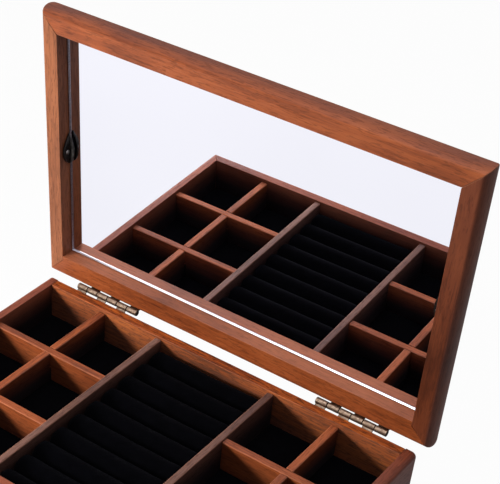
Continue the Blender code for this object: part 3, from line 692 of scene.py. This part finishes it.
def shape_roll(piece, index):
    """Draw the ends down, keep the sides off the neighbours, and add a little unevenness."""
    middle_y = cushion_low.y + ROLL_PITCH * (index + 0.5)
    half = ROLL_PITCH / 2 - SLIT_HALF
    for point in piece.data.vertices:
        spot = point.co
        from_end = roll_length / 2 - abs(spot.x - roll_middle_x)
        share = max(0.0, 1 - from_end / END_REACH)
        rise = max(0.0, (spot.z - cushion_low.z) / (cushion_high.z - cushion_low.z))
        bumps = noise.noise(spot * BUMP_WAVES + Vector((0, index * BUMP_SHIFT, 0)))
        creases = noise.noise(Vector((spot.x * CREASE_WAVES_ALONG,
                                      spot.y * CREASE_WAVES_ACROSS + index * CREASE_SHIFT,
                                      spot.z * CREASE_WAVES_ACROSS)))
        spot.z += rise * (bumps * BUMP_HEIGHT + creases * share * CREASE_HEIGHT - END_DROP * share ** 2)
        spot.y = middle_y + (spot.y - middle_y) * (1 - END_NARROWING * share ** 2)
        spot.y = min(max(spot.y, middle_y - half), middle_y + half)
        spot.z = min(spot.z, cushion_high.z + PILE_HEIGHT)
        spot.x = min(max(spot.x, cushion_low.x), cushion_high.x)


roll_mesh = first_roll.data
bpy.data.objects.remove(first_roll)
for index in range(ROLLS):
    piece = dress(add_copy(roll_mesh, f"ring_roll_{index + 1}"), velvet)
    piece.data.transform(Matrix.Translation((0, ROLL_PITCH * index, 0)))
    shape_roll(piece, index)
    apply_modifier(piece, "SUBSURF", levels=1, render_levels=1)
    bpy.ops.object.shade_smooth()
    settle(piece, "ring_cushion")
print("rolls", ROLLS, "pitch", round(ROLL_PITCH, 5))

# %% [markdown]
# ## The velvet beds of the compartments and drawers
# Under the dividers lies a card with thin wadding and velvet over it. The dividers press it down,
# so each compartment has its own low pillow. A flat grid is held along the walls and dividers, blown
# up from below, tucked down at its rim and given its thickness.

# %% Beds
BED_CELL = 0.002
DRAWER_BED_CELL = 0.004
BED_WADDING = 0.0007
BED_ROOM = 0.0003
RIM_TUCK = 0.0005
DIVIDER_PRESS = 0.001


def from_rim(spot, low, high):
    return min(spot.x - low.x, high.x - spot.x, spot.y - low.y, high.y - spot.y)


def bars_over(side):
    """The strips that a side bay's dividers press down: the axis across, the start and the end."""
    dividers = ((0, f"column_divider_{side}"), (1, f"row_divider_{side}_1"), (1, f"row_divider_{side}_2"))
    return [(axis, corners(node)[0][axis] - DIVIDER_PRESS, corners(node)[1][axis] + DIVIDER_PRESS)
            for axis, node in dividers]


def make_bed(node, bars, cell, pressure):
    low, high = corners(node)
    size = high - low
    bed = add_primitive(bpy.ops.mesh.primitive_grid_add, scale=(size.x, size.y, 1),
                        x_subdivisions=round(size.x / cell), y_subdivisions=round(size.y / cell),
                        size=1, location=((low.x + high.x) / 2, (low.y + high.y) / 2, high.z))
    bed.name = f"{node}_bed"
    held = [point.index for point in bed.data.vertices
            if from_rim(point.co, low, high) < BED_CELL
            or any(start <= point.co[axis] <= end for axis, start, end in bars)]
    blow_up(bed, held, pressure, cap=BED_WADDING)
    for point in bed.data.vertices:
        tuck = max(0, RIM_TUCK - from_rim(point.co, low, high))
        point.co.z = min(max(point.co.z, high.z), high.z + BED_WADDING) - tuck
    apply_modifier(bed, "SOLIDIFY", thickness=size.z - BED_ROOM, offset=-1)
    bpy.ops.object.shade_smooth_by_angle(angle=SMOOTH)
    settle(dress(bed, velvet), node)
    print(bed.name, len(bed.data.vertices), "points")


for side in ("left", "right"):
    make_bed(f"velvet_floor_{side}", bars_over(side), BED_CELL, pressure=1.5)
for drawer in ("lower", "upper"):
    make_bed(f"{drawer}_drawer_velvet", [], DRAWER_BED_CELL, pressure=0.6)

# %% [markdown]
# ## Antiqued brass and black metal
# The hinges and knobs are brass that was darkened in a bath and rubbed bright again where a hand or
# a cloth reaches. The mirror clips are blackened steel, and their screws dull steel. One group gives
# the patina of all: soft clouds of tarnish, and fine specks of it.

# %% Patina group
SPECK_WAVES = 3500.0
TARNISH_DULLNESS = 0.18


def build_patina_group():
    tree, start, end = new_group(
        "patina",
        {"Bright": "Color", "Dull": "Color", "Clouds": "Float", "Dullness": "Float", "Vector": "Vector"},
        {"Colour": "Color", "Roughness": "Float", "Height": "Float"})
    clouds = pattern(tree, start["Vector"], start["Clouds"], Detail=4.0, Roughness=0.6)
    specks = pattern(tree, start["Vector"], SPECK_WAVES, Detail=2.0)
    cloudy = ramp(tree, clouds, (0.36, 0.0), (0.62, 1.0))
    speckled = ramp(tree, specks, (0.3, 0.55), (0.5, 1.0))
    shine = times(tree, cloudy, speckled)
    tarnish = times(tree, calc(tree, "SUBTRACT", 1.0, shine), TARNISH_DULLNESS)
    fill(tree, end, Colour=mix_colour(tree, shine, start["Dull"], start["Bright"]),
         Roughness=calc(tree, "ADD", start["Dullness"], tarnish), Height=specks)
    return tree


patina_group = build_patina_group()
print("group", patina_group.name, len(patina_group.nodes), "nodes")


# %% Metals
def metal(name, bright, dull, clouds, dullness):
    material, tree, shader, place = new_material(name)
    patina = use_group(tree, patina_group, Vector=place["Object"], Bright=bright, Dull=dull,
                       Clouds=clouds, Dullness=dullness)
    fill(tree, shader, Base_Color=patina["Colour"], Roughness=patina["Roughness"], Metallic=1.0,
         Normal=relief(tree, patina["Height"], 0.15, 0.00005))
    return material


brass = metal("antiqued brass", (0.34, 0.25, 0.175), (0.22, 0.155, 0.105), 420.0, 0.42)
knob_brass = metal("rubbed brass", (0.55, 0.41, 0.22), (0.26, 0.18, 0.09), 260.0, 0.26)
# Nearly black brass: painted shade for the faces in the hinges' gaps and the pins between them
gap_shade_brass = metal("brass with painted gap shade", (0.06, 0.045, 0.03), (0.02, 0.015, 0.01), 600.0, 0.6)
black_metal = metal("blackened steel", (0.075, 0.07, 0.066), (0.03, 0.028, 0.027), 500.0, 0.3)
screw_steel = metal("dull steel", (0.42, 0.4, 0.37), (0.2, 0.19, 0.18), 500.0, 0.35)
print("metals", brass.name, knob_brass.name, gap_shade_brass.name, black_metal.name, screw_steel.name)

# %% [markdown]
# ## The hinges
# Each hinge is a stamped strip of brass rolled round a pin: three knuckles belong to the box and
# three to the lid, with a dark gap between neighbours. The leaf goes into a slot in the wood, so no
# screw shows. A knuckle starts as a cylinder, the leaf as a flat bar, and the neck between them as a
# thinner bar that is turned towards the pin.

# %% Hinge parts
KNUCKLES = 6
KNUCKLE_GAP = 0.00035
KNUCKLE_RADIUS = 0.0022
KNUCKLE_EASE = 0.0004
BORE_INSET = 0.0011
BORE_EDGE = 0.0001
BORE_DEPTH = 0.0006
LEAF = 0.001
LEAF_EASE = 0.0002
LEAF_OFFSET = 0.004


def add_bar(size, place, turn_x=0.0):
    """A bar with its edges eased, at a place beside the hinge axis."""
    bar = add_primitive(bpy.ops.mesh.primitive_cube_add, scale=size, size=1,
                        location=HINGE_AXIS + Vector(place), rotation=(turn_x, 0, 0))
    return round_edges(bar, LEAF_EASE, 2)


def add_rod(radius, left, right, sides):
    return add_primitive(bpy.ops.mesh.primitive_cylinder_add, vertices=sides, radius=radius,
                         depth=right - left, rotation=ALONG_X,
                         location=HINGE_AXIS + Vector(((left + right) / 2, 0, 0)))


def add_knuckle(left, right):
    knuckle = add_rod(KNUCKLE_RADIUS, left, right, sides=48)
    edit_with(knuckle, "FACE", lambda face: abs(face.normal.x) > 0.9)
    bpy.ops.mesh.inset(thickness=BORE_INSET, use_individual=True)
    bpy.ops.mesh.inset(thickness=BORE_EDGE, depth=-BORE_DEPTH, use_individual=True)
    set_mode("OBJECT")
    return round_edges(knuckle, KNUCKLE_EASE, 3, angle=math.radians(50))


def join(pieces, name):
    bpy.ops.object.select_all(action="DESELECT")
    for piece in pieces:
        piece.select_set(True)
    bpy.context.view_layer.objects.active = pieces[0]
    bpy.ops.object.join()
    pieces[0].name = name
    return pieces[0]


# %% [markdown]
# A leaf is joined from its plate, its three knuckles and their necks. The lid's leaf is drawn as if
# the lid were shut, and then opened with it. Faces that look into the gaps get a nearly black brass,
# a painted shade for the narrow gaps.

# %% Hinge leaves
# For each half: the wood's edge behind the axis, the leaf's reach into the wood, its height beside
# the axis, and the number of its first knuckle
LEAVES = {"box": (-0.0043, 0.0056, -LEAF_OFFSET, 0), "lid": (-0.001712, 0.009, LEAF_OFFSET, 1)}
NECK_FOOT = 0.7 * LEAF
NECK_SINK = 0.8
NECK_OVERLAP = 0.0004
NECK_THICKNESS = 0.9 * LEAF
NECK_INSET = 0.0008
SIDEWAYS = 0.45
hinge_ends = {side: [corner.x for corner in corners(f"hinge_{side}_pin")] for side in ("left", "right")}
lid_turn = (Matrix.Translation(HINGE_AXIS) @ Matrix.Rotation(-OPEN_ANGLE, 4, "X")
            @ Matrix.Translation(-HINGE_AXIS))


def build_leaf(side, owner):
    edge_y, reach, plate_z, first = LEAVES[owner]
    start, end = hinge_ends[side]
    length = (end - start - (KNUCKLES - 1) * KNUCKLE_GAP) / KNUCKLES
    parts = [add_bar((end - start, reach + LEAF, LEAF),
                     ((start + end) / 2, edge_y + (LEAF - reach) / 2, plate_z))]
    neck_foot = Vector((edge_y + NECK_FOOT, plate_z))
    neck_top = neck_foot.normalized() * KNUCKLE_RADIUS * NECK_SINK
    neck = neck_foot - neck_top
    middle = (neck_foot + neck_top) / 2
    for index in range(first, KNUCKLES, 2):
        left = start + index * (length + KNUCKLE_GAP)
        parts.append(add_knuckle(left, left + length))
        parts.append(add_bar((length - NECK_INSET, neck.length + NECK_OVERLAP, NECK_THICKNESS),
                             (left + length / 2, middle.x, middle.y), turn_x=math.atan2(neck.y, neck.x)))
    leaf = join(parts, f"hinge_{side}_{owner}_knuckles")
    if owner == "lid":
        leaf.data.transform(lid_turn)
    dress(leaf, brass, gap_shade_brass)
    # Faces that look sideways into the gaps take the painted shade
    for face in leaf.data.polygons:
        face.material_index = 1 if abs(face.normal.x) > SIDEWAYS else 0
    return settle(leaf, f"hinge_{side}_{owner}_leaf")


for side in ("left", "right"):
    for owner in ("box", "lid"):
        leaf = build_leaf(side, owner)
    print(side, "hinge", len(leaf.data.polygons), "faces in the lid's half")

# %% [markdown]
# ## The hinge pins
# A pin is a wire with a small round head at each end, so that it can't creep out. It shows only
# between the knuckles and at the two ends.

# %% Hinge pins
WIRE_RADIUS = 0.001
WIRE_INSET = 0.0003
PIN_HEAD_RADIUS = 0.0013
PIN_HEAD = 0.0004
PIN_EASE = 0.0002
for side, (start, end) in hinge_ends.items():
    parts = [add_rod(WIRE_RADIUS, start + WIRE_INSET, end - WIRE_INSET, sides=32),
             add_rod(PIN_HEAD_RADIUS, start, start + PIN_HEAD, sides=32),
             add_rod(PIN_HEAD_RADIUS, end - PIN_HEAD, end, sides=32)]
    for part in parts:
        round_edges(part, PIN_EASE, 2)
    # The pin shows in the gaps, so it takes the brass with painted gap shade
    settle(dress(join(parts, f"hinge_{side}_wire_pin"), gap_shade_brass), f"hinge_{side}_pin")
print("pins", len(hinge_ends))

# %% [markdown]
# ## The mirror
# A real mirror is a pane of glass with silver on its back and paint over the silver. The picture is
# made by the silver, a little behind the face, and the cut edge of the glass shows as a pale line
# round it. A clear pane in front of a silver sheet makes the picture soft and noisy, so the sheet is
# one piece: its face is set back to where the silver appears, and the sloping rim that is left round
# it is the ground edge. At both sides that edge lies in shade, and there it gets a darker copy of
# its material, a painted shade. Behind the sheet lies a plain card.

# %% Mirror materials
def drifting(name, first, second, waves, roughness, metallic=1.0, detail=2.0):
    """A material whose colour drifts between two tones."""
    material, tree, shader, place = new_material(name)
    drift = pattern(tree, place["Object"], waves, Detail=detail)
    fill(tree, shader, Base_Color=ramp(tree, drift, (0.3, first), (0.7, second)), Roughness=roughness,
         Metallic=metallic)
    return material


silver = drifting("silvering", (0.86, 0.86, 0.935), (0.9, 0.9, 0.975), 5.0, roughness=0.0)
ground_glass = drifting("ground glass edge", (0.9, 0.9, 0.92), (0.97, 0.97, 0.98), 900.0,
                        roughness=0.3)
# A darker copy of the ground edge: painted shade for its sides
painted_shade_rim = drifting("ground glass edge with painted shade", (0.2, 0.18, 0.2), (0.34, 0.31, 0.34), 900.0,
                    roughness=0.5)
back_paint = drifting("mirror back paint", (0.05, 0.048, 0.05), (0.12, 0.11, 0.12), 240.0,
                      roughness=0.6, metallic=0.0)
card = drifting("backing card", (0.11, 0.085, 0.06), (0.2, 0.16, 0.12), 420.0,
                roughness=0.85, metallic=0.0, detail=4.0)
dress(frame["nodes"]["mirror_backing"], card)
print("materials", silver.name, ground_glass.name, painted_shade_rim.name, back_paint.name, card.name)

# %% [markdown]
# A glued mirror is never quite square in its frame: here its picture stands a little to one side of
# where a true one would. A height that rises steadily across the sheet leans its reflection without
# moving a point of it.

# %% Leaning silver
LEAN_ALONG_X, LEAN_ALONG_Z = -0.0155, -0.0068
tree = silver.node_tree
place = add_node(tree, "TexCoord").outputs["Object"]
axes = add_node(tree, "SeparateXYZ", Vector=place).outputs
lean = calc(tree, "ADD", times(tree, axes["X"], LEAN_ALONG_X),
            times(tree, axes["Z"], LEAN_ALONG_Z))
fill(tree, tree.nodes["Principled BSDF"], Normal=relief(tree, lean, 1.0, 1.0))
print("lean", LEAN_ALONG_X, LEAN_ALONG_Z)

# %% Mirror sheet
GLASS_RIM = 0.00045
SILVER_DEPTH = 0.0012
PAINTED, GROUND, SILVERED, SHADED = range(4)
through = (lid_turn.to_3x3() @ Vector((0, 0, 1))).normalized()
sheet = dress(copy_of("mirror", "mirror_sheet"), back_paint, ground_glass, silver, painted_shade_rim)
edit_with(sheet, "FACE", lambda face: face.normal.dot(through) < -0.9)
bpy.ops.mesh.inset(thickness=GLASS_RIM, depth=-SILVER_DEPTH)
set_mode("OBJECT")
# Rim faces that look sideways take the painted shade, the others the ground edge
for face in sheet.data.polygons:
    if face.select:
        face.material_index = SILVERED
    elif -0.95 < face.normal.dot(through) < -0.1:
        face.material_index = SHADED if abs(face.normal.x) > 0.2 else GROUND
settle(sheet, "mirror")
print("mirror", len(sheet.data.polygons), "faces")

# %% [markdown]
# ## The clips
# A small black leaf of steel, folded along its middle, holds each side of the mirror: one half is
# screwed to the stile and the other lies on the glass. The CAD leaf has the right outline, so a copy
# gets its rims rounded.

# %% Clips
CLIP_EASE = 0.0003
for side in ("left", "right"):
    clip = dress(copy_of(f"mirror_clip_{side}", f"mirror_clip_{side}_leaf"), black_metal)
    settle(round_edges(clip, CLIP_EASE, 2), f"mirror_clip_{side}")
print("clips", 2)

# %% [markdown]
# ## Slotted screws
# A screw has a low dome with a slot. It is turned from a disc: the upper face is drawn up in three
# steps along a quarter circle, and the lower face is drawn down into the shank and its point. The
# slot is cut with a thin bar. The screw is made on the origin, and then aimed and sunk into its place.

# %% Screw helpers
DOME_ANGLES = [math.radians(angle) for angle in (0, 25, 50, 75)]
# Shares of the head's height: its rim, its dome, and the slot's middle and depth
RIM_SHARE, DOME_SHARE, SLOT_MIDDLE, SLOT_DEPTH = 0.3, 0.7, 0.85, 0.7
# Shares of the head's radius: the slot's length and width
SLOT_LENGTH, SLOT_WIDTH = 3, 0.26
# Shares of the shank: its straight part, its point, and how wide the point's end is
SHANK_SHARE, POINT_SHARE, POINT_WIDTH = 0.8, 0.2, 0.15


def draw_out(height, width=1.0):
    """Extrude the selected face along Z and scale its end."""
    bpy.ops.mesh.extrude_region_move(TRANSFORM_OT_translate={"value": (0, 0, height)})
    bpy.ops.transform.resize(value=(width, width, 1))


def turn_screw(head_radius, head_height, shank_radius, shank_length):
    """A screw that stands on the origin with its head up."""
    screw = add_primitive(bpy.ops.mesh.primitive_cylinder_add, vertices=32, radius=head_radius,
                          depth=head_height * RIM_SHARE)
    edit_with(screw, "FACE", lambda face: face.normal.z > 0.9)
    for angle, next_angle in zip(DOME_ANGLES, DOME_ANGLES[1:]):
        draw_out((math.sin(next_angle) - math.sin(angle)) * head_height * DOME_SHARE,
                 math.cos(next_angle) / math.cos(angle))
    edit_with(screw, "FACE", lambda face: face.normal.z < -0.9)
    bpy.ops.mesh.inset(thickness=head_radius - shank_radius)
    draw_out(-shank_length * SHANK_SHARE)
    draw_out(-shank_length * POINT_SHARE, POINT_WIDTH)
    set_mode("OBJECT")
    bar = add_primitive(bpy.ops.mesh.primitive_cube_add, size=1,
                        location=(0, 0, head_height * SLOT_MIDDLE),
                        scale=(head_radius * SLOT_LENGTH, head_radius * SLOT_WIDTH,
                               head_height * SLOT_DEPTH))
    apply_modifier(screw, "BOOLEAN", operation="DIFFERENCE", solver="EXACT", object=bar)
    bpy.data.objects.remove(bar)
    bpy.ops.object.shade_smooth_by_angle(angle=math.radians(35))
    return screw


def add_screw(node, material, sizes, outward, slot_turn):
    """A screw in its CAD node's place, with its head at the node's outer end."""
    screw = dress(turn_screw(**sizes), material)
    screw.name = f"{node}_slotted"
    low, high = corners(node)
    reach = abs((high - low).dot(outward))
    foot = (low + high) / 2 + outward * (reach / 2 - sizes["head_height"])
    aim = outward.to_track_quat("Z", "Y").to_matrix().to_4x4() @ Matrix.Rotation(slot_turn, 4, "Z")
    screw.data.transform(Matrix.Translation(foot) @ aim)
    settle(screw, node)


# %% Clip screws
CLIP_SCREW = {"head_radius": 0.0017, "head_height": 0.0009, "shank_radius": 0.0008, "shank_length": 0.006}
add_screw("mirror_clip_screw_left", screw_steel, CLIP_SCREW, Vector((1, 0, 0)), slot_turn=0.6)
add_screw("mirror_clip_screw_right", screw_steel, CLIP_SCREW, Vector((-1, 0, 0)), slot_turn=1.3)
print("clip screws", 2)

# %% [markdown]
# ## The drawer knobs
# The knobs are below the edge of the photograph. They are turned like the ones such boxes have, with a
# foot ring, a thin neck and a rounded face. A circle is drawn out and widened or narrowed station by
# station, as a lathe tool follows an outline. One knob is copied, and a screw from inside the drawer
# holds each copy.

# %% Knobs
# Each station: its width and its height, as shares of the knob's radius and length
KNOB_OUTLINE = ((0.69, 0.0), (0.69, 0.07), (0.64, 0.1), (0.56, 0.12), (0.5, 0.17), (0.47, 0.24),
                (0.47, 0.32), (0.52, 0.4), (0.66, 0.46), (0.8, 0.5), (0.93, 0.57), (1.0, 0.66),
                (1.0, 0.72), (0.97, 0.8), (0.9, 0.87), (0.78, 0.925), (0.62, 0.96), (0.4, 0.985),
                (0.15, 0.998))


def turn_knob(radius, length):
    """A knob that stands on the origin."""
    knob = add_primitive(bpy.ops.mesh.primitive_circle_add, vertices=48,
                         radius=radius * KNOB_OUTLINE[0][0], fill_type="NGON")
    edit_with(knob, "FACE", lambda face: True)
    for (wide, high), (next_wide, next_high) in zip(KNOB_OUTLINE, KNOB_OUTLINE[1:]):
        draw_out((next_high - high) * length, next_wide / wide)
    bpy.ops.mesh.select_all(action="SELECT")
    bpy.ops.mesh.normals_make_consistent(inside=False)
    set_mode("OBJECT")
    bpy.ops.object.shade_smooth_by_angle(angle=math.radians(38))
    return knob


low, high = corners("lower_drawer_knob_left")
turned_knob = turn_knob((high.x - low.x) / 2, high.y - low.y)
knob_mesh = turned_knob.data
bpy.data.objects.remove(turned_knob)
print("knob", len(knob_mesh.polygons), "faces")

# %% Knobs and their screws in place
KNOB_SCREW = {"head_radius": 0.003, "head_height": 0.0012, "shank_radius": 0.0014, "shank_length": 0.0148}
KNOB_SLOT_TURN = 0.6673
for drawer in ("lower", "upper"):
    for side in ("left", "right"):
        node = f"{drawer}_drawer_knob_{side}"
        low, high = corners(node)
        foot = Vector(((low.x + high.x) / 2, high.y, (low.z + high.z) / 2))
        knob = dress(add_copy(knob_mesh, f"{node}_turned"), knob_brass)
        knob.data.transform(Matrix.Translation(foot) @ Matrix.Rotation(math.pi / 2, 4, "X"))
        settle(knob, node)
        add_screw(f"{drawer}_drawer_knob_screw_{side}", knob_brass, KNOB_SCREW, Vector((0, 1, 0)),
                  KNOB_SLOT_TURN)
print("knobs", 4)

# %% [markdown]
# ## The floor
# The photograph has a white ground. A floor bright enough to look white would also throw light up on
# the box, so two things are mixed: a pale paper for the light in the scene, and a white glow for the
# rays that come from the eye, straight or by way of the mirror. The paper keeps a small share, and
# the box's shadow with it.

# %% Stage
FLOOR_SIZE = 12
FLOOR_GLOW = 0.97
FLOOR_IN_GLOSS = 0.3


def seen_rays(tree):
    """The kinds of rays, and 1 for those from the eye, straight, by way of a mirror or through glass."""
    rays = add_node(tree, "LightPath").outputs
    seen = calc(tree, "MAXIMUM", rays["Is Camera Ray"], rays["Is Singular Ray"])
    return rays, calc(tree, "MAXIMUM", seen, rays["Is Transmission Ray"])


floor = add_primitive(bpy.ops.mesh.primitive_plane_add, size=FLOOR_SIZE)
floor.name = "floor"
paper = bpy.data.materials.new("pale paper")
paper.use_nodes = True
tree = paper.node_tree
tree.nodes.clear()
plain = add_node(tree, "BsdfDiffuse", Color=(0.8, 0.8, 0.82))
glow = add_node(tree, "Emission", Color=(1.0, 1.0, 1.0), Strength=1.0)
rays, seen = seen_rays(tree)
seen = calc(tree, "MAXIMUM", seen, times(tree, rays["Is Glossy Ray"], FLOOR_IN_GLOSS))
both = add_node(tree, "MixShader", Fac=times(tree, seen, FLOOR_GLOW))
tree.links.new(plain.outputs[0], both.inputs[1])
tree.links.new(glow.outputs[0], both.inputs[2])
add_node(tree, "OutputMaterial", Surface=both.outputs[0])
dress(floor, paper)
print("stage", floor.name)

# %% [markdown]
# ## The light
# One small lamp stood at the front left: the lid's face is three times as bright at its left as at
# its right, and the dividers throw sharp shadows. Here it is two lamps in one place. A small one
# lights the box, and a wider and weaker one shows only in gloss, so that the lacquer has a soft shine
# and no hot spot. A wide lamp overhead and a weak room fill the shadows. The camera and the mirror see
# the room as white, and in gloss it is dark at the horizon and bright overhead.

# %% Room
# Each pair: the strength at the horizon, and what is added straight overhead
ROOM_LEVELS = (0.02, 0.05)
GLOSS_LEVELS = (0.05, 2.2)
ROOM_TINT = (0.93, 0.92, 1.0)
world = bpy.data.worlds.new("soft room")
bpy.context.scene.world = world
world.use_nodes = True
tree = world.node_tree
rays, seen = seen_rays(tree)
way = add_node(tree, "TexCoord").outputs["Generated"]
above = calc(tree, "MAXIMUM", add_node(tree, "SeparateXYZ", Vector=way).outputs["Z"], 0.0)
soft, glossy = (calc(tree, "ADD", times(tree, above, added), horizon)
                for horizon, added in (ROOM_LEVELS, GLOSS_LEVELS))
glossy = times(tree, rays["Is Glossy Ray"], glossy)
fill(tree, tree.nodes["Background"],
     Color=mix_colour(tree, rays["Is Camera Ray"], ROOM_TINT, (1.0, 1.0, 1.0)),
     Strength=calc(tree, "MAXIMUM", calc(tree, "MAXIMUM", glossy, seen), soft))
print("world", world.name)


# %% Lamps
def lamp(name, place, target, size, power, colour, matt=True, gloss=True):
    """A round lamp that looks at a target, and lights matt surfaces, shows in gloss, or both."""
    data = bpy.data.lights.new(name, "AREA")
    data.shape = "DISK"
    data.size = size
    data.energy = power
    data.color = colour
    item = bpy.data.objects.new(name, data)
    item.location = place
    item.rotation_euler = (Vector(place) - Vector(target)).to_track_quat("Z", "Y").to_euler()
    item.visible_diffuse = matt
    item.visible_glossy = gloss
    bpy.context.scene.collection.objects.link(item)


KEY_PLACE = (-0.48, -0.5, 0.335)
KEY_TARGET = (0, 0.02, 0.16)
KEY_COLOUR = (1.0, 0.97, 0.93)
OVERHEAD_PLACE = (0, -0.1, 1.4)
OVERHEAD_COLOUR = (0.96, 0.95, 1.0)
lamp("key light", KEY_PLACE, KEY_TARGET, size=0.15, power=7.3, colour=KEY_COLOUR, gloss=False)
lamp("key shine", KEY_PLACE, KEY_TARGET, size=0.4, power=2.0, colour=KEY_COLOUR, matt=False)
lamp("overhead light", OVERHEAD_PLACE, (0, 0, 0), size=1.0, power=6.4, colour=OVERHEAD_COLOUR)
